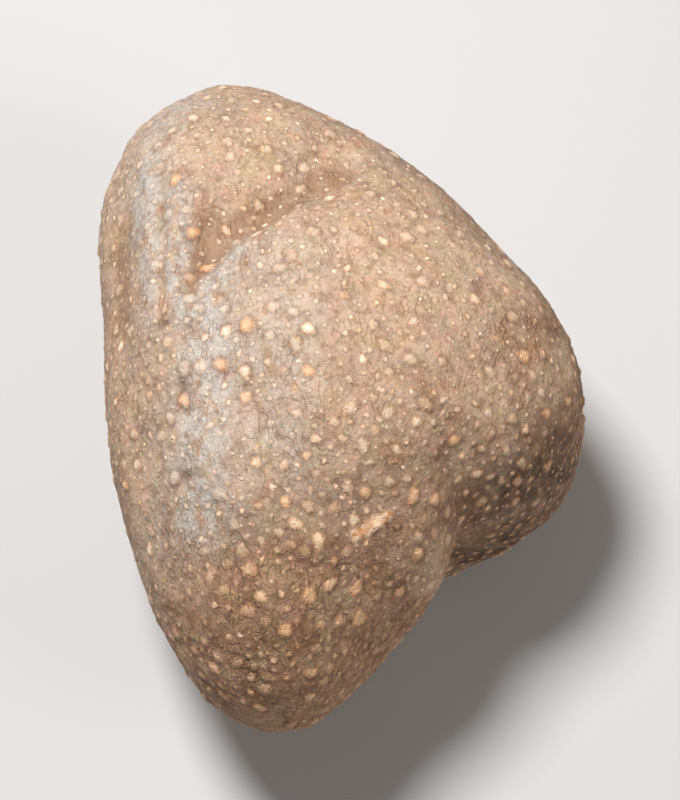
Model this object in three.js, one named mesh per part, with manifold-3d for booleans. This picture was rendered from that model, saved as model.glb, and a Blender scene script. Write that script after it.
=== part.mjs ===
// An air potato, a tuber of the yam Dioscorea bulbifera, as one solid.
// Millimetres, +Z up. The origin is on the surface it rests on, under the middle of its box.
// It lies on its flatter back, its blunt crown towards +Y and its broad, two-lobed end towards -Y.
import * as THREE from "three";
import { mergeVertices } from "three/addons/utils/BufferGeometryUtils.js";
import { ImprovedNoise } from "three/addons/math/ImprovedNoise.js";
import Module from "manifold-3d";

// Driving dimensions: the box of the finished tuber.
const WIDTH = 73;
const LENGTH = 101;
const HEIGHT = 58;

// The form is laid out about life size, and the driving dimensions then stretch it to its exact box.
const CORE = new THREE.Vector3(0, -2, 27); // a point inside, from which all of the skin is in sight
const BLEND = 4.2; // how softly the lobes run together
const FACETS = 23; // facets along each edge of the icosahedron that the skin is laid out on

// The lobes that it has swollen into, as ellipsoids.
const LOBES = [
  { name: "belly", centre: [-2, -1, 29], radii: [30, 35, 28] },
  { name: "back", centre: [-3, 0, 16.5], radii: [24, 32, 21] },
  { name: "crown", centre: [-16, 29, 28], radii: [20, 21, 20] },
  { name: "left flank", centre: [-19.5, 6, 28], radii: [15, 36, 21] },
  { name: "upper slope", centre: [1, 20, 27], radii: [18.5, 19, 20] },
  { name: "right shoulder", centre: [16.5, 4, 28], radii: [18.5, 18.5, 20] },
  { name: "right lobe", centre: [22, -3, 19], radii: [14, 12.5, 16] },
  { name: "lower lobe", centre: [-10, -29, 27], radii: [15.5, 21, 21] },
];

// Creases and ridges in the skin, each along a curve that bends past its middle point. A ridge is a crease
// whose depth is below 0.
const CREASES = [
  { name: "crown furrow", depth: 2.6, width: 3.8, path: [[0, 30, 49], [-8, 23, 52], [-20, 16, 50]] },
  { name: "second fold", depth: 1.2, width: 3.2, path: [[0, 14, 57], [-10, 11, 56], [-20, 8, 52]] },
  { name: "flank groove", depth: 1, width: 3.4, path: [[-30, 36, 34], [-32, 11, 43], [-30, -13, 42]] },
  { name: "flank ridge", depth: -1.2, width: 5, path: [[-23, 38, 42], [-26, 12, 49], [-20, -18, 50]] },
  { name: "shoulder ridge", depth: -1.3, width: 6, path: [[12, -17, 46], [24, -10, 42], [32, -1, 33]] },
  { name: "lobe cleft", depth: 5, width: 7, path: [[13, -33, 2], [20, -26, 20], [13, -14, 42]] },
];

// The stub where it hung from the vine.
const STEM_SCAR = { height: 2, width: 3.4, centre: [-18, 48, 31] };

// Low swells all over the skin, from broad to small.
const SWELLS = [
  { spacing: 17, height: 0.9 },
  { spacing: 8, height: 0.35 },
];

// The back is pressed nearly flat just under height 0, where the resting face is then cut.
const PRESSED_AT = -0.3;
const PRESS_SOFTNESS = 6;

const SKIN = { name: "corky skin", color: 0xb48e6c, roughness: 0.72, metalness: 0 };

const noise = new ImprovedNoise();

// Distance from an ellipsoid, near enough: below 0 inside it, above 0 outside.
function fromEllipsoid(point, { centre, radii }) {
  const size = new THREE.Vector3(...radii);
  const scaled = point.clone().sub(new THREE.Vector3(...centre)).divide(size);
  const reach = scaled.length();
  const steepness = scaled.divide(size).length();
  return (reach * (reach - 1)) / Math.max(steepness, Number.EPSILON);
}

// Distance from all the lobes, with the clefts between them filled in softly.
function fromLobes(point) {
  const nearness = LOBES.reduce((sum, lobe) => sum + Math.exp(-fromEllipsoid(point, lobe) / BLEND), 0);
  return -BLEND * Math.log(nearness);
}

// A bell curve: 1 at no distance, and next to nothing from twice the width on.
function bell(distance, width) {
  return Math.exp(-((distance / width) ** 2));
}

const POINTS_ALONG_CREASE = 24;
const creaseLines = CREASES.map(({ path }) => {
  const curve = new THREE.QuadraticBezierCurve3(...path.map((point) => new THREE.Vector3(...point)));
  return curve.getPoints(POINTS_ALONG_CREASE);
});

function creaseDepth(point) {
  return CREASES.reduce((sum, { depth, width }, i) => {
    const distance = Math.min(...creaseLines[i].map((onLine) => onLine.distanceTo(point)));
    return sum + depth * bell(distance, width);
  }, 0);
}

function scarHeight(point) {
  return STEM_SCAR.height * bell(point.distanceTo(new THREE.Vector3(...STEM_SCAR.centre)), STEM_SCAR.width);
}

function swellHeight({ x, y, z }) {
  return SWELLS.reduce(
    (sum, { spacing, height }) => sum + height * noise.noise(x / spacing, y / spacing, z / spacing),
    0,
  );
}

// The larger of two distances, with the corner where they meet rounded off.
function softMax(a, b, softness) {
  const nearness = Math.max(softness - Math.abs(a - b), 0) / softness;
  return Math.max(a, b) + (nearness ** 2 * softness) / 4;
}

// Distance from the skin, near enough: below 0 inside the tuber, above 0 outside.
function fromSkin(point) {
  const grown = fromLobes(point) + creaseDepth(point) - scarHeight(point) - swellHeight(point);
  return softMax(grown, PRESSED_AT - point.z, PRESS_SOFTNESS);
}

const BEYOND_SKIN = 70; // further from the core than any of the skin
const STEP = 0.5;
const HALVINGS = 20;

// The outermost point of the skin in one direction from the core.
function skinPoint(direction) {
  const at = (distance) => CORE.clone().addScaledVector(direction, distance);
  let inner = BEYOND_SKIN;
  while (fromSkin(at(inner)) > 0) inner -= STEP;
  let outer = inner + STEP;
  for (let i = 0; i < HALVINGS; i++) {
    const middle = (inner + outer) / 2;
    if (fromSkin(at(middle)) > 0) outer = middle;
    else inner = middle;
  }
  return at(inner);
}

// The geometry with its shared corners joined and nothing but their positions kept.
function joined(geometry) {
  geometry.deleteAttribute("normal");
  geometry.deleteAttribute("uv");
  return mergeVertices(geometry);
}

function skinGeometry() {
  const geometry = joined(new THREE.IcosahedronGeometry(1, FACETS - 1));
  const position = geometry.getAttribute("position");
  const direction = new THREE.Vector3();
  for (let i = 0; i < position.count; i++) {
    direction.fromBufferAttribute(position, i).normalize();
    position.setXYZ(i, ...skinPoint(direction));
  }
  return geometry;
}

const wasm = await Module();
wasm.setup();

function solidOf(geometry) {
  const vertProperties = geometry.getAttribute("position").array;
  const triVerts = geometry.getIndex().array;
  return new wasm.Manifold(new wasm.Mesh({ numProp: 3, vertProperties, triVerts }));
}

function geometryOf(solid) {
  const { vertProperties, triVerts } = solid.getMesh();
  const geometry = new THREE.BufferGeometry();
  geometry.setAttribute("position", new THREE.BufferAttribute(vertProperties, 3));
  geometry.setIndex(new THREE.BufferAttribute(triVerts, 1));
  return geometry;
}

// Trims the underside to one flat facet, for the tuber to rest on.
function trimmed(geometry) {
  const side = 2 * BEYOND_SKIN;
  const block = new THREE.BoxGeometry(side, side, side).translate(0, 0, -side / 2);
  return geometryOf(solidOf(geometry).subtract(solidOf(joined(block))));
}

// Stretches the tuber to its driving dimensions and stands it on the origin.
function fitted(geometry) {
  geometry.computeBoundingBox();
  const { min, max } = geometry.boundingBox;
  const size = geometry.boundingBox.getSize(new THREE.Vector3());
  geometry.translate(-(min.x + max.x) / 2, -(min.y + max.y) / 2, -min.z);
  geometry.scale(WIDTH / size.x, LENGTH / size.y, HEIGHT / size.z);
  geometry.computeVertexNormals();
  return geometry;
}

const airPotato = new THREE.Mesh(fitted(trimmed(skinGeometry())), new THREE.MeshStandardMaterial(SKIN));
airPotato.name = "air_potato";

const part = new THREE.Group();
part.add(airPotato);

export default part;
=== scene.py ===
"""An air potato's skin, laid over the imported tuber: corky dots, wrinkles, scars and a mottled colour."""

import math
from dataclasses import dataclass, fields

import bmesh
import bpy
import numpy as np
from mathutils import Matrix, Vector, noise
from mathutils.bvhtree import BVHTree
from mathutils.geometry import delaunay_2d_cdt
from mathutils.kdtree import KDTree


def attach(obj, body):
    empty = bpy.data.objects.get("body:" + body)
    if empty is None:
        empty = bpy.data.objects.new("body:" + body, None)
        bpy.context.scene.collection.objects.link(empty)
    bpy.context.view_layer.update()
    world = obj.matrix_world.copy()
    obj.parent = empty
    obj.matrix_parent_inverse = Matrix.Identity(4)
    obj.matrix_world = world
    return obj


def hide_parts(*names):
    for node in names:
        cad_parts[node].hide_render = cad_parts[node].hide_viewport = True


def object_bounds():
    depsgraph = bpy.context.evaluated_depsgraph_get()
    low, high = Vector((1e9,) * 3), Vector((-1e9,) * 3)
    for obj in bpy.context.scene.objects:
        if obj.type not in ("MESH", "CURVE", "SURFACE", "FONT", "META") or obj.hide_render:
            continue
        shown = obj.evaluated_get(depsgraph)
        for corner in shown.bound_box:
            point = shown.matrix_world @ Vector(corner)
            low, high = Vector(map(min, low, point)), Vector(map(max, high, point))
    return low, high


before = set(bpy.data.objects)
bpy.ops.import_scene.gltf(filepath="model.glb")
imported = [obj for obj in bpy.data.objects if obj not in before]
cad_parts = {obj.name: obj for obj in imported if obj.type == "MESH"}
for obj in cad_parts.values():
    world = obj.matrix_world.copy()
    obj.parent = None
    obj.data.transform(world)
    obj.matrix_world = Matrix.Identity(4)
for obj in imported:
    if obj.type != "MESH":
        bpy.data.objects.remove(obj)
cad_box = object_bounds()

# The skin is worked out in millimetres, in the frame's axes, and turned to metres when it becomes a mesh.
MM = 0.001
rng = np.random.default_rng(11)

BODY = "root"
TUBER = "air_potato"

# A point inside the tuber from which all of its skin is in sight, and the same point on the resting face.
CORE = np.array([-1.2, -2.0, 27.0])
FOOT = CORE * (1, 1, 0)

# Points of the smooth tuber.
JOINING_DISTANCE = 0.005  # corners of the CAD mesh nearer than this are one
ROUNDING_STEPS = 2
EVENING_ROUNDS = 8  # of averaging, to tell a furrow from the even swell around it
BARE_SPACING = 0.47  # between the points of the bare skin
CLOSEST_BARE = 0.86  # the least spacing, as a share of that
RESTING_HEIGHT = 0.1  # points that lie lower are on the resting face
CLOSING_RADIUS = 7.0  # of the ring in the resting face that the skin is closed inside
CLOSING_POINTS = 72

# The skin between the dots lies this far under the CAD surface, so that the tallest dots reach up to it.
SKIN_DEPTH = 0.45
RESTING_FADE = 2.2  # relief fades out this far above the resting face

# Where the dots stand, and how they vary. Spacing is between neighbours, and size is the radius at the skin.
DOT_SPACING = 2.75
WIDEST_SPACING = 4.4  # no dots are asked to stand further apart
SPACING_WANDER = 0.3  # how much the spacing varies, as a share
SPACING_PATCH = 14  # over patches this far across
SMALL_DOT_SHARE = 0.3
SMALL_DOT_SPACING = 0.7  # as a share of the other dots'
SMALL_DOT_SIZES = (0.3, 0.48)
DOT_SIZES = (0.5, 1.0)
BIG_DOT = 0.95
SIZE_BIAS = 1.4  # over 1, so that most dots are nearer to the lesser size
STEEPNESS = 0.31  # height over radius
STEEPNESS_SHARES = (0.6, 1.25)
DIMPLES = (-1.0, 0.6)  # how deep a dimple is, as a share of the height; under 0 there is none
STRETCHES = (1.0, 1.35)
MOST_TINT = 0.75
PALLOR_BIAS = 2.8  # over 1, so that most dots are dull

# How the dots change from halfway along the tuber to the crown, and the other way to the lobed end.
HALF_LENGTH = 50
WIDER_SPACING = 0.12
LESS_SIZE = 0.1
# Toward the crown the dots turn creamer, partly as painted highlight where the light falls.
LESS_TINT = 0.35

# The form of a dot, over shares of its radius.
DOME = (0.3, 1.2)  # falls away between these
DIMPLE_WIDTH = 0.34
DOT_ROUGHNESS = 0.22  # how much the height wanders over a dot, as a share of it
EDGE_WAVES = ((2, 0.12), (3, 0.09), (5, 0.06))  # waves round its ragged edge, each with its reach
RINGS = (0.55, 0.95, 1.35)  # where the skin is measured around a dot
SMALL_RINGS = (0.8, 1.4)
BIG_RINGS = (0.3, 0.55, 0.78, 1.0, 1.22, 1.5)
FURTHEST_EDGE = 1.1
NO_DOT = 2.0  # stands for bare skin
DOT_CLEARANCE = 0.2  # in millimetres, from the outer ring to the nearest points of the bare skin
RING_POINT_SPACING = 0.44
FEWEST_IN_RING = 6

# Relief of the bare skin.
LUMPS = ((0.22, 5.5, 0), (0.17, 2.6, 3), (0.11, 1.2, 5))  # each with its height, its width and its seed
ON_DOT = (1.2, 0.8)  # relief weakens over these shares of a dot's radius
RELIEF_LOST_ON_DOT = 0.5
CREASE_DEPTH = 0.11  # of the shallow creases that run between the dots
CREASE_WIDTH = 0.9
CREASED_PATCH = 5  # creases show in patches this far across
CREASED_LEVELS = (-0.35, 0.25)  # of the noise, from no creases to full ones

# Marks that stand out, by their place as seen from above.
ORANGE_DOTS = (
    (16.6, -14.2), (10.8, -22.6), (8.8, -33.5), (2.6, -34.7), (-4.2, -37), (-7.6, -41.7), (-3.9, -46),
    (33.7, -3.2), (30.3, -6.8), (26.8, 0), (-22.5, -9.2), (-17.2, -4.8), (-4.5, -7),
    (-21.4, 17.6), (-19.1, 12), (-13.5, 0.8), (-23.9, 26.2),
)
ORANGE_SIZES = (0.85, 1.15)
ORANGE_LOOKS = {"steepness": 0.24, "dimple": 0.3, "tint": 1.0, "stretch": 1.2}
RING_SCAR = (3, -38)
RING_SCAR_SIZE = 1.5
RING_SCAR_LOOKS = {"steepness": 0.2, "dimple": 1.2, "tint": 0.8}
PITS = ((-25.8, 3.4), (-22.8, -7.1), (-22.1, -20))
PIT_WIDTH = 1.15
PIT_DEPTH = 0.5
STREAK = ((2.5, -28.6), (6.8, -25.7))
STREAK_WIDTH = 0.9
STREAK_EDGE = (0.7, 1.3)  # it fades out over these shares of its width
STREAK_HEIGHT = 0.26
STREAK_ROUGHNESS = 0.14
STREAK_GRAIN = 0.8
STREAK_CLEARED_AT = (0.1, 0.5, 0.9)  # how far along it no dot may stand

# Where the skin is rubbed ash-grey, with a painted sheen in the same grey: paths as seen from above, with how
# far and how strongly it spreads.
SCUFFS_AND_SHEEN = (
    (((-24, 44), (-29, 36), (-28, 22)), 5.2, 0.65),
    (((-27, 20), (-19.5, 4), (-19.5, -8), (-20.5, -24)), 5.8, 1.0),
    (((-8, 10), (-10, -4), (-9, -16)), 7.0, 0.5),
)
SCUFF_AND_SHEEN_HEIGHTS = (16, 34)  # the grey scuffs and their painted sheen come in between these
SCUFF_AND_SHEEN_PER_FOLD = 1.5  # a fold of 1 mm gets this much more grey scuff and painted sheen
# Shallow folds down the same flank: paths as seen from above, with their widths and heights.
FOLDS = (
    (((-14, 14.5), (-18.3, 9), (-20.8, 3)), 1.5, 0.5),
    (((-23.7, 25), (-24.3, 14), (-23.7, 8), (-20.3, 1)), 1.4, 0.6),
    (((-28.6, 30), (-28.4, 19), (-27.8, 11), (-27.4, 4)), 1.3, 0.5),
    (((-18.4, 21), (-19.3, 14), (-21.6, 8)), 2.0, -0.75),
    (((-26.2, 22), (-26.2, 12), (-25.6, 5)), 1.1, -0.5),
    (((-32.6, 23), (-32.8, 14), (-32.2, 7)), 1.6, -0.4),
)
FOLD_HEIGHTS = (24, 34)  # folds come in between these
FOLD_WANDER = 0.7  # how far they stray from their paths
FOLD_STRETCH = 7  # over stretches this long
HOLLOW_PER_GROOVE = 2  # as a hollow, a groove counts for this many times its depth, for the brown and painted shade of hollows
# Dark soil and painted shade lie on the cleft side of the right lobe, and a little of both elsewhere: paths
# in space, with how far and how strongly they spread.
DARK_LOBE = ((25.5, -17.5, 36), (31, -13, 33), (34.5, -12, 24), (27, -20, 26), (24, -18, 14), (17, -26, 20))
SOILED_AND_SHADED = (
    (DARK_LOBE, 8.4, 1.0),
    (((-12, -41, 44), (-8, -32, 50), (1, -29, 51), (6, -22, 52)), 7.5, 0.36),
    (((-15, -31, 48), (-9, -28, 52), (2, -25, 53)), 6.5, 0.52),
    (((8, 38, 36), (18, 27, 38), (28, 13, 36)), 6.0, 0.44),
    (((-36, 15, 30), (-35, -8, 32), (-29, -30, 28)), 6.0, 0.34),
    (((36, 6, 26), (35, -3, 30), (33, -10, 32)), 5.0, 0.5),
)


def smoothstep(low, high, value):
    share = np.clip((value - low) / (high - low), 0.0, 1.0)
    return share * share * (3 - 2 * share)


def bell(distance, width):
    return np.exp(-((distance / width) ** 2))


def noise_at(points, size, seed=0.0):
    """Smooth noise from -1 to 1 at each point, with lumps about this size across."""
    shift = Vector((seed, 2 * seed, 3 * seed))
    return np.array([noise.noise(Vector(point) / size + shift) for point in points.tolist()])


def distance_to_path(points, path):
    """How far each point lies from a bent line, by the nearest of its straight stretches."""
    nearest = np.full(len(points), np.inf)
    for start, end in zip(path, path[1:]):
        start, run = np.array(start, dtype=float), np.subtract(end, start)
        along = np.clip((points - start) @ run / (run @ run), 0, 1)
        nearest = np.minimum(nearest, np.linalg.norm(points - start - along[:, None] * run, axis=1))
    return nearest


def spread_around(points, marks):
    """How strongly each point is marked by the strongest of some marks: (path, width, strength) each."""
    strongest = np.zeros(len(points))
    for path, width, strength in marks:
        strongest = np.maximum(strongest, strength * bell(distance_to_path(points, path), width))
    return strongest


# ------------------------------------------------------------------------------------------------------
# The smooth tuber under the relief


def hollowness(bm):
    """How far each corner lies below the even swell around it, as in a furrow, in millimetres."""
    start = np.array([v.co for v in bm.verts])
    normals = np.array([v.normal for v in bm.verts])
    pairs = np.array([[v.index for v in edge.verts] for edge in bm.edges])
    neighbours = np.bincount(pairs.ravel())
    even = start.copy()
    for _ in range(EVENING_ROUNDS):
        total = np.zeros_like(even)
        np.add.at(total, pairs[:, 0], even[pairs[:, 1]])
        np.add.at(total, pairs[:, 1], even[pairs[:, 0]])
        even = total / neighbours[:, None]
    under = ((even - start) * normals).sum(axis=1)
    return under - np.median(under)


def smooth_tuber(node):
    """The CAD tuber with its facets rounded off, as a mesh in millimetres that carries its hollowness."""
    bm = bmesh.new()
    bm.from_mesh(node.data)
    bmesh.ops.remove_doubles(bm, verts=bm.verts, dist=JOINING_DISTANCE * MM)
    bmesh.ops.scale(bm, vec=(1 / MM,) * 3, verts=bm.verts)
    bm.normal_update()
    hollow = hollowness(bm)
    mesh = bpy.data.meshes.new("smooth_tuber")
    bm.to_mesh(mesh)
    bm.free()
    mesh.attributes.new("hollow", "FLOAT", "POINT").data.foreach_set("value", hollow)
    piece = bpy.data.objects.new("smooth_tuber", mesh)
    bpy.context.collection.objects.link(piece)
    piece.modifiers.new("rounding", "SUBSURF").levels = ROUNDING_STEPS
    smooth = bpy.data.meshes.new_from_object(piece.evaluated_get(bpy.context.evaluated_depsgraph_get()))
    bpy.data.objects.remove(piece)
    return smooth


def numbers(items, name, width):
    """A property of each item of a mesh, in rows of this many numbers."""
    values = np.empty(len(items) * width, dtype=np.float32)
    items.foreach_get(name, values)
    return values.astype(float).reshape(-1, width).squeeze()


class Ground:
    """The smooth tuber's surface, to stand points on."""

    def __init__(self, mesh):
        self.points = numbers(mesh.vertices, "co", 3)
        self.normals = numbers(mesh.vertex_normals, "vector", 3)
        self.hollows = numbers(mesh.attributes["hollow"].data, "value", 1)
        faces = [tuple(face.vertices) for face in mesh.polygons]
        self.tree = BVHTree.FromPolygons(self.points.tolist(), faces)
        self.corners = KDTree(len(self.points))
        for i, point in enumerate(self.points.tolist()):
            self.corners.insert(point, i)
        self.corners.balance()

    def below(self, place):
        """The surface point straight under a place that is seen from above."""
        high = Vector((place[0], place[1], 2 * cad_box[1][2] / MM))
        return np.array(self.tree.ray_cast(high, Vector((0, 0, -1)))[0])

    def stand(self, point):
        """The surface point nearest to a point, and the corner of the mesh nearest to that."""
        stood = self.tree.find_nearest(point)[0]
        return stood, self.corners.find(stood)[1]


class Cells:
    """Points kept in a grid of cells, to ask which lie near a place."""

    def __init__(self, size):
        self.size = size
        self.cells = {}

    def key(self, point):
        return tuple(int(v // self.size) for v in point)

    def add(self, point):
        self.cells.setdefault(self.key(point), []).append(tuple(point))

    def around(self, point):
        x, y, z = self.key(point)
        for i in (x - 1, x, x + 1):
            for j in (y - 1, y, y + 1):
                for k in (z - 1, z, z + 1):
                    yield from self.cells.get((i, j, k), ())

    def is_free(self, point, distance):
        return all(math.dist(point, near) >= distance for near in self.around(point))


# ------------------------------------------------------------------------------------------------------
# The corky dots


class Dot:
    """One raised corky dot: a ragged, rough dome, some with a dimple on top."""

    def __init__(self, centre, normal, size, steepness, dimple, tint, pallor=1.0, stretch=1.0):
        self.centre = Vector(centre)
        self.size = size
        self.height = size * steepness
        self.dimple = dimple
        self.tint = tint
        self.pallor = pallor
        self.stretch = stretch
        turn = rng.uniform(0, math.tau)
        across = Vector(normal).orthogonal().normalized()
        along = Vector(normal).cross(across)
        self.long_axis = across * math.cos(turn) + along * math.sin(turn)
        self.short_axis = along * math.cos(turn) - across * math.sin(turn)
        self.phases = rng.uniform(0, math.tau, len(EDGE_WAVES))

    def profile(self, share):
        """The height of the skin at a share of the dot's radius from its centre."""
        dome = 1 - smoothstep(*DOME, share)
        rough = 1 + DOT_ROUGHNESS * rng.uniform(-1, 1)
        return self.height * (dome * rough - self.dimple * bell(share, DIMPLE_WIDTH))

    def edge(self, angle):
        """How far the ragged edge reaches at an angle, as a share of the radius."""
        waves = zip(EDGE_WAVES, self.phases)
        return sum((reach * math.sin(count * angle + phase) for (count, reach), phase in waves), start=1)

    def rings(self):
        if self.size < DOT_SIZES[0]:
            return SMALL_RINGS
        return BIG_RINGS if self.size > BIG_DOT else RINGS

    def clearance(self):
        """How far from its centre the points of the bare skin begin."""
        return self.size * self.rings()[-1] * self.stretch * FURTHEST_EDGE + DOT_CLEARANCE

    def samples(self):
        """Points over the dot: (place in space, height, share of its radius)."""
        yield self.centre, self.profile(0), 0.0
        for i, share in enumerate(self.rings()):
            count = max(FEWEST_IN_RING, round(math.tau * self.size * share / RING_POINT_SPACING))
            for step in range(count):
                angle = math.tau * (step + i / 2) / count
                reach = self.size * share * self.edge(angle)
                offset = self.long_axis * (math.cos(angle) * self.stretch) + self.short_axis * math.sin(angle)
                yield self.centre + offset * reach, self.profile(share), share


def towards_crown(point):
    """From about -1 at the lobed end to about 1 at the crown."""
    return point[1] / HALF_LENGTH


def local_spacing(point):
    """Dots crowd together at the lobed end and in patches, and thin out on the crown."""
    wander = SPACING_WANDER * noise.noise(Vector(point) / SPACING_PATCH)
    return DOT_SPACING * (1 + wander + WIDER_SPACING * towards_crown(point))


def scattered_dots(ground, taken):
    dots = []
    points = ground.points.tolist()
    for i in rng.permutation(len(points)).tolist():
        point = points[i]
        small = rng.random() < SMALL_DOT_SHARE
        spacing = local_spacing(point) * (SMALL_DOT_SPACING if small else 1)
        if point[2] < RESTING_FADE or not taken.is_free(point, spacing):
            continue
        taken.add(point)
        crownward = towards_crown(point)
        low, high = SMALL_DOT_SIZES if small else DOT_SIZES
        size = (low + (high - low) * rng.random() ** SIZE_BIAS) * (1 - LESS_SIZE * crownward)
        dots.append(
            Dot(
                point,
                ground.normals[i],
                size,
                steepness=STEEPNESS * rng.uniform(*STEEPNESS_SHARES),
                dimple=max(0.0, rng.uniform(*DIMPLES)),
                tint=rng.random() * (MOST_TINT - LESS_TINT * crownward),
                pallor=rng.random() ** (PALLOR_BIAS - crownward),
                stretch=rng.uniform(*STRETCHES),
            )
        )
    return dots


def placed_dot(ground, taken, place, size, looks):
    point = ground.below(place)
    taken.add(point.tolist())
    return Dot(point, ground.normals[ground.stand(Vector(point))[1]], size, **looks)


def all_dots(ground):
    taken = Cells(WIDEST_SPACING)
    dots = []
    for place in ORANGE_DOTS:
        dots.append(placed_dot(ground, taken, place, rng.uniform(*ORANGE_SIZES), ORANGE_LOOKS))
    dots.append(placed_dot(ground, taken, RING_SCAR, RING_SCAR_SIZE, RING_SCAR_LOOKS))
    start, end = np.array(STREAK)
    for share in STREAK_CLEARED_AT:
        taken.add(ground.below(start * (1 - share) + end * share).tolist())
    return dots + scattered_dots(ground, taken)


# ------------------------------------------------------------------------------------------------------
# The skin


@dataclass
class Patch:
    """Points of the smooth tuber, each with what is to stand on it."""

    places: np.ndarray
    normals: np.ndarray
    hollows: np.ndarray
    heights: np.ndarray
    shares: np.ndarray  # of the radius of the dot that the point is on
    tints: np.ndarray
    pallors: np.ndarray


def joined(patches):
    columns = ([getattr(patch, field.name) for patch in patches] for field in fields(Patch))
    return Patch(*map(np.concatenate, columns))


def bare_patch(ground, dots):
    """The skin between the dots, in evenly spaced points that keep clear of them."""
    clearances = {tuple(dot.centre): dot.clearance() for dot in dots}
    near_dots = Cells(max(clearances.values()))
    for centre in clearances:
        near_dots.add(centre)
    kept = Cells(BARE_SPACING)
    chosen = []
    points = ground.points.tolist()
    for i in rng.permutation(len(points)).tolist():
        point = points[i]
        if point[2] < RESTING_HEIGHT and math.dist(point, FOOT) < CLOSING_RADIUS + BARE_SPACING:
            continue
        if not kept.is_free(point, BARE_SPACING * CLOSEST_BARE):
            continue
        if any(math.dist(point, centre) < clearances[centre] for centre in near_dots.around(point)):
            continue
        kept.add(point)
        chosen.append(i)
    flat = np.zeros(len(chosen))
    placed = (ground.points[chosen], ground.normals[chosen], ground.hollows[chosen])
    return Patch(*placed, flat, flat + NO_DOT, flat, flat)


def dot_patch(ground, dots):
    rows = []
    for dot in dots:
        for place, height, share in dot.samples():
            stood, corner = ground.stand(place)
            looks = (height, share, dot.tint, dot.pallor)
            rows.append((*stood, *ground.normals[corner], ground.hollows[corner], *looks))
    rows = np.array(rows)
    return Patch(rows[:, 0:3], rows[:, 3:6], *rows[:, 6:].T)


def closing_patch():
    """The ring in the resting face that the skin is closed inside."""
    angles = np.arange(CLOSING_POINTS) * math.tau / CLOSING_POINTS
    flat = np.zeros(CLOSING_POINTS)
    ring = np.stack([np.cos(angles), np.sin(angles), flat], axis=1) * CLOSING_RADIUS + FOOT
    down = np.tile((0.0, 0.0, -1.0), (CLOSING_POINTS, 1))
    return Patch(ring, down, flat, flat, flat + NO_DOT, flat, flat)


def folds_on(places):
    """Height of the shallow folds at each point, in millimetres."""
    wander = np.stack([noise_at(places, FOLD_STRETCH, seed) for seed in (21, 23)], axis=1)
    plan = places[:, :2] + FOLD_WANDER * wander
    height = np.zeros(len(places))
    for path, width, tallness in FOLDS:
        height += tallness * bell(distance_to_path(plan, path), width)
    return height * smoothstep(*FOLD_HEIGHTS, places[:, 2])


def marks_on(places, folds, ground):
    """Scuffs with a painted sheen, pits, soil with painted shade and the corky streak at each point, from 0
    to 1.
    """
    scuff_and_sheen = spread_around(places[:, :2], SCUFFS_AND_SHEEN) + SCUFF_AND_SHEEN_PER_FOLD * folds
    scuff_and_sheen = np.clip(scuff_and_sheen, 0, 1) * smoothstep(*SCUFF_AND_SHEEN_HEIGHTS, places[:, 2])
    pit = np.zeros(len(places))
    for place in PITS:
        pit = np.maximum(pit, bell(np.linalg.norm(places - ground.below(place), axis=1), PIT_WIDTH))
    soil_and_shade = spread_around(places, SOILED_AND_SHADED)
    ragged = STREAK_WIDTH * (1 + noise_at(places, STREAK_WIDTH, seed=9) / 2)
    line = [ground.below(place) for place in STREAK]
    streak = 1 - smoothstep(*STREAK_EDGE, distance_to_path(places, line) / ragged)
    return scuff_and_sheen, pit, soil_and_shade, streak


def creases_between(places, dots):
    """Where the skin is creased halfway between two dots, from 0 to 1."""
    centres = KDTree(len(dots))
    for i, dot in enumerate(dots):
        centres.insert(dot.centre, i)
    centres.balance()
    gaps = []
    for point in places.tolist():
        (_, _, near), (_, _, next_near) = centres.find_n(point, 2)
        gaps.append(next_near - near)
    creased = smoothstep(*CREASED_LEVELS, noise_at(places, CREASED_PATCH, seed=13))
    return (1 - smoothstep(0, CREASE_WIDTH, np.array(gaps))) * creased


def relief(places, crease, pit, streak):
    """Height of the bare skin over its mean, in millimetres."""
    lumps = sum(height * noise_at(places, width, seed) for height, width, seed in LUMPS)
    cork = STREAK_HEIGHT + STREAK_ROUGHNESS * noise_at(places, STREAK_GRAIN, seed=17)
    return lumps - CREASE_DEPTH * crease - PIT_DEPTH * pit + cork * streak


# What delaunay_2d_cdt is asked for: triangles out to the convex hull, and how near two points are one.
WHOLE_HULL = 0
SAME_PLACE = 1e-9


def triangles_over(places):
    """Joins points of the skin into well-shaped triangles, as seen from the core.

    Their directions are flattened from the downward pole, which keeps circles circles, so the best
    triangulation of the flat points is also the best one on the ball of directions."""
    directions = places - CORE
    directions /= np.linalg.norm(directions, axis=1)[:, None]
    flat = directions[:, :2] / (1 + directions[:, 2:])
    faces = delaunay_2d_cdt(flat.tolist(), [], [], WHOLE_HULL, SAME_PLACE)[2]
    return [tuple(face) for face in faces]


def tidied(mesh):
    """Drops the points that no triangle uses, and turns every triangle outwards."""
    bm = bmesh.new()
    bm.from_mesh(mesh)
    bmesh.ops.delete(bm, geom=[v for v in bm.verts if not v.link_faces], context="VERTS")
    bmesh.ops.recalc_face_normals(bm, faces=bm.faces)
    bm.to_mesh(mesh)
    bm.free()
    mesh.shade_smooth()
    return mesh


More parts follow.
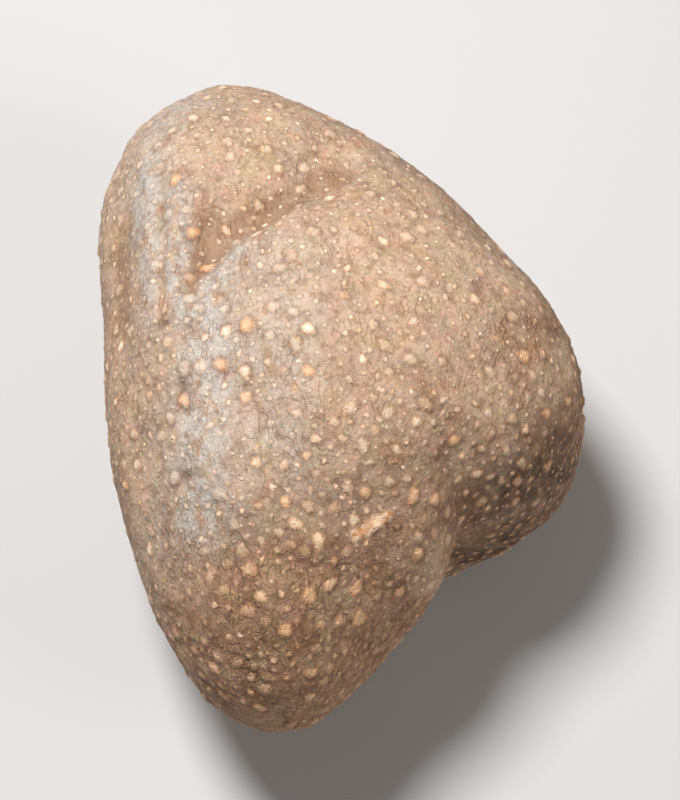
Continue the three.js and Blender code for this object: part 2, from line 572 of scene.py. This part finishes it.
def skin_mesh(ground):
    dots = all_dots(ground)
    patch = joined([bare_patch(ground, dots), dot_patch(ground, dots), closing_patch()])
    folds = folds_on(patch.places)
    scuff_and_sheen, pit, soil_and_shade, streak = marks_on(patch.places, folds, ground)
    crease = creases_between(patch.places, dots)
    kept_relief = 1 - RELIEF_LOST_ON_DOT * smoothstep(*ON_DOT, patch.shares)
    height = patch.heights + relief(patch.places, crease, pit, streak) * kept_relief + folds - SKIN_DEPTH
    height *= smoothstep(0.0, RESTING_FADE, patch.places[:, 2])
    skin = patch.places + patch.normals * height[:, None]
    skin[:, 2] = np.maximum(skin[:, 2], 0)

    faces = triangles_over(patch.places)
    foot = len(skin)
    ring = range(foot - CLOSING_POINTS, foot)
    faces += [(following, point, foot) for point, following in zip(ring, [*ring[1:], ring[0]])]
    mesh = bpy.data.meshes.new("air_potato_skin")
    mesh.from_pydata((np.vstack([skin, FOOT]) * MM).tolist(), [], faces)
    looks = {
        "hollow": patch.hollows - HOLLOW_PER_GROOVE * np.minimum(folds, 0),
        "share": patch.shares,
        "tint": patch.tints,
        "pallor": patch.pallors,
        "crease": crease,
        "scuff_and_sheen": scuff_and_sheen,
        "pit": pit,
        "soil_and_shade": soil_and_shade,
        "streak": streak,
    }
    for name, values in looks.items():
        mesh.attributes.new(name, "FLOAT", "POINT").data.foreach_set("value", np.append(values, values[-1]))
    return tidied(mesh)


# ------------------------------------------------------------------------------------------------------
# Its colour and finish


def linear(*rgb):
    """A colour as it looks on a screen, each number from 11 to 255, as the shader's own numbers."""
    return tuple(((v / 255 + 0.055) / 1.055) ** 2.4 for v in rgb) + (1.0,)


PALE_TAN = linear(197, 169, 145)
GREY_BROWN = linear(178, 155, 137)
# The earthy side's colours: a real earthier tone, darkened further as painted shade.
SHADED_EARTH = linear(172, 133, 104)
DARK_SHADED_EARTH = linear(137, 100, 73)
PINKISH = linear(202, 156, 138)
OLIVE = linear(180, 162, 124)
RUSSET = linear(194, 150, 110)
# Brown in the furrows, darkened further as painted shade; also painted shade in the pebbles' dips.
FURROW_BROWN_AND_SHADE = linear(146, 112, 88)
# Dark soil, used also as painted shade on the lobe's cleft side and the flanks.
SOIL_AND_SHADE = linear(46, 30, 19)
# Dark flecks; the same colour is painted shade in the wrinkles, the creases and round the dots' foot.
FLECK_AND_SHADE = linear(106, 76, 56)
# Ash-grey bloom, partly a painted sheen.
ASH_AND_SHEEN = linear(188, 185, 180)
# Pale cork; in the dots' middles it is partly painted highlight.
CREAM_AND_HIGHLIGHT = linear(246, 225, 200)
PEACH = linear(228, 186, 145)
ORANGE = linear(206, 146, 97)
# Painted shade in the pits.
DENT_SHADE = linear(112, 80, 60)

# The skin is pale round a place and turns earthy between two distances from it: partly real tone, and partly
# painted light on the pale side and painted shade on the earthy side. All are in metres, as the shader works
# in them.
PALE_LIT_CENTRE = (-0.0135, 0.011, 0.028)
EARTHY_SHADED = (0.04, 0.053)
EARTHY_SHADED_WANDER = 0.045  # how far the border strays, from the least of a noise to the most


@dataclass
class Mask:
    """A noise cut between two levels: least where it is under low, and most where it is over high."""

    size: float  # of its lumps, in millimetres
    low: float
    high: float
    least: float = 0.0
    most: float = 1.0
    detail: float = 4.0
    roughness: float = 0.55
    seed: float = 0.0
    stretch: float = 1.0


MOTTLES = Mask(size=9, low=0.4, high=0.62, detail=5)
EARTH_MOTTLES = Mask(size=5, low=0.4, high=0.62, seed=0.4)
TONES = (
    (RUSSET, Mask(size=4.5, low=0.5, high=0.64, most=0.5, seed=0.3)),
    (PINKISH, Mask(size=2.6, low=0.48, high=0.64, most=0.5, detail=3, seed=0.9)),
    (OLIVE, Mask(size=3.1, low=0.48, high=0.64, most=0.5, detail=3, seed=1.1)),
)
FURROW_PATCHES = Mask(size=2.4, low=0.35, high=0.55, least=0.6, seed=1.7)
SOIL_AND_SHADE_PATCHES = Mask(size=2.2, low=0.36, high=0.58, least=0.45, detail=5, roughness=0.6, seed=1.3)
BLOOM_AND_SHEEN_STREAKS = Mask(size=1.8, low=0.31, high=0.55, detail=5, seed=0.7, stretch=0.5)
PEBBLES = Mask(size=1.9, low=0.5, high=0.66, most=0.5, detail=3, roughness=0.6, seed=0.45)
WRINKLED_PATCHES = Mask(size=4.5, low=0.3, high=0.6, least=0.3, detail=2, seed=0.6)
FLECKS = Mask(size=0.75, low=0.5, high=0.66, detail=3, roughness=0.7, seed=0.1)
CORK_GRAIN = Mask(size=1.3, low=0.36, high=0.58, seed=0.15)

# Wrinkles run slantwise over the skin, longer than they are wide.
WRINKLE_STRETCH = 0.5
WRINKLE_TURN = math.radians(35)
WRINKLE_SIZE = 2.1
FINE_WRINKLE_SIZE = 1.0
WRINKLE_WIDTH = 0.04  # in levels of their noise

TINY_DOT_SPACING = 1.25
TINY_DOT = (0.3, 0.1)  # fades in between these shares of the spacing from its middle
TINY_DOT_LOTS = (0.3, 0.9)  # of the cells, by lot, from no dot to a full one

# What shows of the raised dots, over shares of their radius, which the raggedness shifts.
DOT_RAGGEDNESS = 1.5
DOT_COLOUR = (1.2, 0.6)  # fades in between these
DOT_RIM = (0.35, 0.95)  # the middle's colour turns to the rim's between these
DOT_FOOT_SHADE_FROM = (0.8, 1.1)  # the painted shade round the foot fades in between these
DOT_FOOT_SHADE_TO = (1.65, 1.2)  # and out between these
DOT_TINTED = (0.3, 0.9)  # the tints between which even the middle loses its cream colour

HOLLOWS = (0.32, 1.1)  # a hollow's brown and painted shade fade in between these depths
BUMP_DEPTH = 0.17  # of the relief that is only bump
ROUGHNESS = 0.72
BLOOM_ROUGHNESS = 0.5
SPECULAR = 0.35


class Shader:
    """Adds nodes to a material and links them as they are made."""

    def __init__(self, name):
        self.material = bpy.data.materials.new(name)
        self.material.use_nodes = True
        self.tree = self.material.node_tree
        self.surface = self.tree.nodes["Principled BSDF"]
        self.place = self.add("ShaderNodeTexCoord").outputs["Object"]

    def add(self, kind, inputs=None, **settings):
        node = self.tree.nodes.new(kind)
        for name, value in settings.items():
            setattr(node, name, value)
        for key, value in (inputs or {}).items():
            self.feed(node.inputs[key], value)
        return node

    def feed(self, socket, value):
        if isinstance(value, bpy.types.NodeSocket):
            self.tree.links.new(value, socket)
        else:
            socket.default_value = value

    def mark(self, name):
        return self.add("ShaderNodeAttribute", attribute_name=name).outputs["Fac"]

    def noise(self, size, detail=4.0, roughness=0.55, distortion=0.0, seed=0.0, stretch=1.0, turn=0.0):
        """A noise with lumps this size in millimetres, and this stretched along a turned axis."""
        where = {
            "Vector": self.place,
            "Location": (seed, seed / 3, -seed),
            "Rotation": (0, 0, turn),
            "Scale": (1, stretch, 1),
        }
        inputs = {
            "Vector": self.add("ShaderNodeMapping", where).outputs["Vector"],
            "Scale": 1 / (size * MM),
            "Detail": detail,
            "Roughness": roughness,
            "Distortion": distortion,
        }
        return self.add("ShaderNodeTexNoise", inputs).outputs["Fac"]

    def between(self, value, low, high, least=0.0, most=1.0):
        """Turns smoothly from least to most as a value goes from low to high."""
        inputs = {"Value": value, "From Min": low, "From Max": high, "To Min": least, "To Max": most}
        return self.add("ShaderNodeMapRange", inputs, interpolation_type="SMOOTHSTEP").outputs["Result"]

    def ramp(self, shown, where_none, where_full):
        """Turns smoothly from one number to another as something comes to show, from 0 to 1."""
        return self.between(shown, 0, 1, where_none, where_full)

    def grain(self, looks):
        """The noise that a mask is cut from."""
        return self.noise(looks.size, looks.detail, looks.roughness, seed=looks.seed, stretch=looks.stretch)

    def cut(self, grain, looks):
        return self.between(grain, looks.low, looks.high, looks.least, looks.most)

    def mask(self, looks):
        return self.cut(self.grain(looks), looks)

    def maths(self, operation, a, b=0.0):
        return self.add("ShaderNodeMath", {0: a, 1: b}, operation=operation).outputs["Value"]

    def plus(self, a, b):
        return self.maths("ADD", a, b)

    def less(self, a, b):
        return self.maths("SUBTRACT", a, b)

    def times(self, a, b):
        return self.maths("MULTIPLY", a, b)

    def greater(self, a, b):
        return self.maths("MAXIMUM", a, b)

    def mix(self, factor, a, b):
        """Mixes two colours, which the node takes by its inputs 6 and 7 and gives by its output 2."""
        node = self.add("ShaderNodeMix", data_type="RGBA")
        self.feed(node.inputs["Factor"], factor)
        self.feed(node.inputs[6], a)
        self.feed(node.inputs[7], b)
        return node.outputs[2]

    def wrinkle_lines(self, size, seed):
        """Thin wandering lines, where a noise passes through its middle."""
        looks = {"detail": 2.0, "roughness": 0.5, "distortion": 0.7}
        level = self.noise(size, **looks, seed=seed, stretch=WRINKLE_STRETCH, turn=WRINKLE_TURN)
        return self.between(self.maths("ABSOLUTE", self.less(level, 0.5)), WRINKLE_WIDTH, 0.0)

    def tiny_dots(self, spacing):
        """Round dots in some of the cells of an uneven grid."""
        cells = self.add("ShaderNodeTexVoronoi", {"Vector": self.place, "Scale": 1 / (spacing * MM)}).outputs
        lot = self.add("ShaderNodeSeparateColor", {0: cells["Color"]}).outputs[0]
        return self.times(self.between(cells["Distance"], *TINY_DOT), self.between(lot, *TINY_DOT_LOTS))


class CorkySkin(Shader):
    """The skin's material, laid on in layers from the ground colour up."""

    def __init__(self):
        super().__init__("corky_skin")
        self.mottle = self.grain(MOTTLES)
        # Pale round the side the light comes from and earthy beyond: partly real tone, partly painted light
        # and painted shade.
        centre = {0: self.place, 1: PALE_LIT_CENTRE}
        distance = self.add("ShaderNodeVectorMath", centre, operation="DISTANCE").outputs["Value"]
        wander = self.times(self.less(self.mottle, 0.5), EARTHY_SHADED_WANDER)
        self.earthy_shaded = self.between(self.plus(distance, wander), *EARTHY_SHADED)
        self.soil_and_shade = self.mark("soil_and_shade")
        # An ash-grey bloom, partly a painted sheen, in streaks along the scuffed flank.
        self.bloom_and_sheen = self.times(self.mark("scuff_and_sheen"), self.mask(BLOOM_AND_SHEEN_STREAKS))
        self.pebble = self.grain(PEBBLES)
        self.tiny = self.tiny_dots(TINY_DOT_SPACING)
        wrinkled = self.ramp(self.earthy_shaded, where_none=0.6, where_full=1.0)
        wrinkled = self.times(wrinkled, self.mask(WRINKLED_PATCHES))
        self.wrinkles = self.times(self.wrinkle_lines(WRINKLE_SIZE, seed=0.5), wrinkled)
        self.fine_wrinkles = self.times(self.wrinkle_lines(FINE_WRINKLE_SIZE, seed=0.8), wrinkled)

    def over(self, under, colour, shown, strength=1.0):
        """A colour laid over another where it shows."""
        return self.mix(self.times(shown, strength), under, colour)

    def ground_colour(self):
        """Pale on one side, partly as painted light, and earthy beyond, partly as painted shade, in mottles.
        """
        pale = self.mix(self.cut(self.mottle, MOTTLES), PALE_TAN, GREY_BROWN)
        earth = self.mix(self.mask(EARTH_MOTTLES), SHADED_EARTH, DARK_SHADED_EARTH)
        colour = self.mix(self.earthy_shaded, pale, earth)
        for tone, patches in TONES:
            colour = self.over(colour, tone, self.mask(patches))
        return colour

    def weathered_and_shaded(self, colour):
        """Brown with painted shade in the furrows, soil with painted shade, and an ash-grey bloom with a
        painted sheen in streaks along the scuffed flank.
        """
        hollow = self.between(self.mark("hollow"), *HOLLOWS)
        colour = self.over(colour, FURROW_BROWN_AND_SHADE, self.times(hollow, self.mask(FURROW_PATCHES)), strength=0.7)
        # Soil with painted shade in it darkens the cleft side of the right lobe, and a little elsewhere.
        colour = self.over(colour, SOIL_AND_SHADE, self.times(self.soil_and_shade, self.mask(SOIL_AND_SHADE_PATCHES)), strength=0.95)
        return self.over(colour, ASH_AND_SHEEN, self.bloom_and_sheen, strength=0.85)

    def roughened(self, colour):
        """Pebbled all over, with painted shade in the pebbles' dips, the fine wrinkles and the creases, and
        with dark flecks and tiny dots.
        """
        colour = self.over(colour, FURROW_BROWN_AND_SHADE, self.cut(self.pebble, PEBBLES))
        colour = self.over(colour, FLECK_AND_SHADE, self.wrinkles, strength=0.45)
        colour = self.over(colour, FLECK_AND_SHADE, self.fine_wrinkles, strength=0.35)
        broken = self.noise(size=0.7, detail=3)
        # Painted shade in the creases between the dots.
        colour = self.over(colour, FLECK_AND_SHADE, self.times(self.mark("crease"), broken), strength=0.6)
        flecked = self.ramp(self.earthy_shaded, where_none=0.32, where_full=0.58)
        colour = self.over(colour, FLECK_AND_SHADE, self.times(self.mask(FLECKS), flecked))
        seen = self.between(self.soil_and_shade, low=0.2, high=1.0, least=0.45, most=0.8)
        return self.over(colour, self.mix(self.earthy_shaded, CREAM_AND_HIGHLIGHT, PEACH), self.times(self.tiny, seen))

    def dotted(self, colour):
        """The corky dots, ragged at the edge, with painted shade round the foot, palest in the middle, where
        the cream is partly painted highlight, and dulled by the bloom and its painted sheen.
        """
        rag = self.less(self.noise(size=0.4, roughness=0.65, seed=0.2), 0.5)
        share = self.plus(self.mark("share"), self.times(rag, DOT_RAGGEDNESS))
        # A ring of painted shade round each dot's foot.
        foot = self.times(self.between(share, *DOT_FOOT_SHADE_FROM), self.between(share, *DOT_FOOT_SHADE_TO))
        colour = self.over(colour, FLECK_AND_SHADE, foot, strength=0.28)
        tint = self.greater(self.mark("tint"), self.times(self.soil_and_shade, 0.85))
        peachy = self.greater(self.between(tint, *DOT_TINTED), self.times(self.earthy_shaded, 0.85))
        # The cream middle is partly the cork's own colour and partly painted highlight.
        middle = self.mix(peachy, CREAM_AND_HIGHLIGHT, PEACH)
        dot = self.mix(self.between(share, *DOT_RIM), middle, self.mix(tint, PEACH, ORANGE))
        seen = self.ramp(self.mark("pallor"), where_none=0.34, where_full=0.92)
        seen = self.times(seen, self.ramp(self.bloom_and_sheen, where_none=1.0, where_full=0.65))
        seen = self.times(seen, self.ramp(self.earthy_shaded, where_none=1.0, where_full=0.85))
        seen = self.greater(seen, self.times(self.soil_and_shade, 0.65))
        return self.over(colour, dot, self.times(self.between(share, *DOT_COLOUR), seen))

    def scarred(self, colour):
        """The corky streak, and painted shade in the pits."""
        cork = self.mix(self.mask(CORK_GRAIN), ORANGE, self.mix(0.5, PEACH, CREAM_AND_HIGHLIGHT))
        colour = self.over(colour, cork, self.mark("streak"), strength=0.95)
        return self.over(colour, DENT_SHADE, self.mark("pit"), strength=0.75)

    def fine_relief(self):
        """Grain, pebbles, tiny dots and wrinkles that are too fine for the mesh."""
        height = self.plus(self.noise(size=0.42, roughness=0.65), self.noise(size=1.2, detail=3, seed=0.35))
        raised = ((self.tiny, 0.8), (self.pebble, -0.8), (self.wrinkles, -0.7), (self.fine_wrinkles, -0.4))
        for layer, rise in raised:
            height = self.plus(height, self.times(layer, rise))
        inputs = {"Strength": 1.0, "Distance": BUMP_DEPTH * MM, "Height": height}
        return self.add("ShaderNodeBump", inputs).outputs["Normal"]

    def finished(self):
        colour = self.weathered_and_shaded(self.ground_colour())
        colour = self.scarred(self.dotted(self.roughened(colour)))
        self.feed(self.surface.inputs["Base Color"], colour)
        self.feed(self.surface.inputs["Roughness"], self.ramp(self.bloom_and_sheen, ROUGHNESS, BLOOM_ROUGHNESS))
        self.surface.inputs["Specular IOR Level"].default_value = SPECULAR
        self.feed(self.surface.inputs["Normal"], self.fine_relief())
        return self.material


def build_skin():
    ground = Ground(smooth_tuber(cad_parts[TUBER]))
    skin = bpy.data.objects.new("air_potato_skin", skin_mesh(ground))
    bpy.context.collection.objects.link(skin)
    skin.data.materials.append(CorkySkin().finished())
    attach(skin, BODY)
    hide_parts(TUBER)


# ------------------------------------------------------------------------------------------------------
# The studio, in metres

FLOOR_SIDE = 4.0
PAPER = linear(191, 191, 192)
PAPER_ROUGHNESS = 0.9
KEY = {"direction": (-0.27, 0.29, 0.92), "distance": 0.8, "size": 0.26, "watts": 9.5}
KEY_COLOUR = (1.0, 0.98, 0.955)
FILL = {"direction": (0.8, -0.35, 0.5), "distance": 0.9, "size": 0.5, "watts": 2.6}
FILL_COLOUR = (1.0, 0.94, 0.87)
SKY = (1.0, 0.985, 0.965, 1.0)
SKY_STRENGTH = 0.13
ELEVATION = math.radians(68)  # the camera looks down on the face that lies upwards
SEEN_HEIGHT = 0.118
LENS = 150
SENSOR = 24

tuber_middle = sum(cad_box, Vector()) / 2


def build_floor():
    bm = bmesh.new()
    bmesh.ops.create_grid(bm, x_segments=1, y_segments=1, size=FLOOR_SIDE / 2)
    mesh = bpy.data.meshes.new("floor")
    bm.to_mesh(mesh)
    bm.free()
    floor = bpy.data.objects.new("floor", mesh)
    bpy.context.collection.objects.link(floor)
    material = bpy.data.materials.new("floor_paper")
    material.use_nodes = True
    paper = material.node_tree.nodes["Principled BSDF"]
    paper.inputs["Base Color"].default_value = PAPER
    paper.inputs["Roughness"].default_value = PAPER_ROUGHNESS
    mesh.materials.append(material)


def aimed(piece, offset):
    """Puts a light or the camera this far from the tuber's middle, and points it there."""
    bpy.context.collection.objects.link(piece)
    piece.location = tuber_middle + offset
    piece.rotation_euler = (tuber_middle - piece.location).to_track_quat("-Z", "Y").to_euler()


def soft_light(name, colour, direction, distance, size, watts):
    light = bpy.data.lights.new(name, "AREA")
    light.shape = "DISK"
    light.size = size
    light.energy = watts
    light.color = colour
    aimed(bpy.data.objects.new(name, light), Vector(direction).normalized() * distance)


def build_studio():
    soft_light("key", KEY_COLOUR, **KEY)
    soft_light("fill", FILL_COLOUR, **FILL)
    world = bpy.data.worlds.new("studio")
    world.use_nodes = True
    sky = world.node_tree.nodes["Background"]
    sky.inputs["Color"].default_value = SKY
    sky.inputs["Strength"].default_value = SKY_STRENGTH
    bpy.context.scene.world = world
    bpy.context.scene.view_settings.view_transform = "Standard"


def build_camera():
    camera = bpy.data.cameras.new("camera")
    camera.lens = LENS
    camera.sensor_fit = "VERTICAL"
    camera.sensor_height = SENSOR
    viewer = bpy.data.objects.new("camera", camera)
    distance = SEEN_HEIGHT * LENS / SENSOR
    aimed(viewer, Vector((0, -math.cos(ELEVATION), math.sin(ELEVATION))) * distance)
    bpy.context.scene.camera = viewer


build_camera()
build_skin()
build_floor()
build_studio()
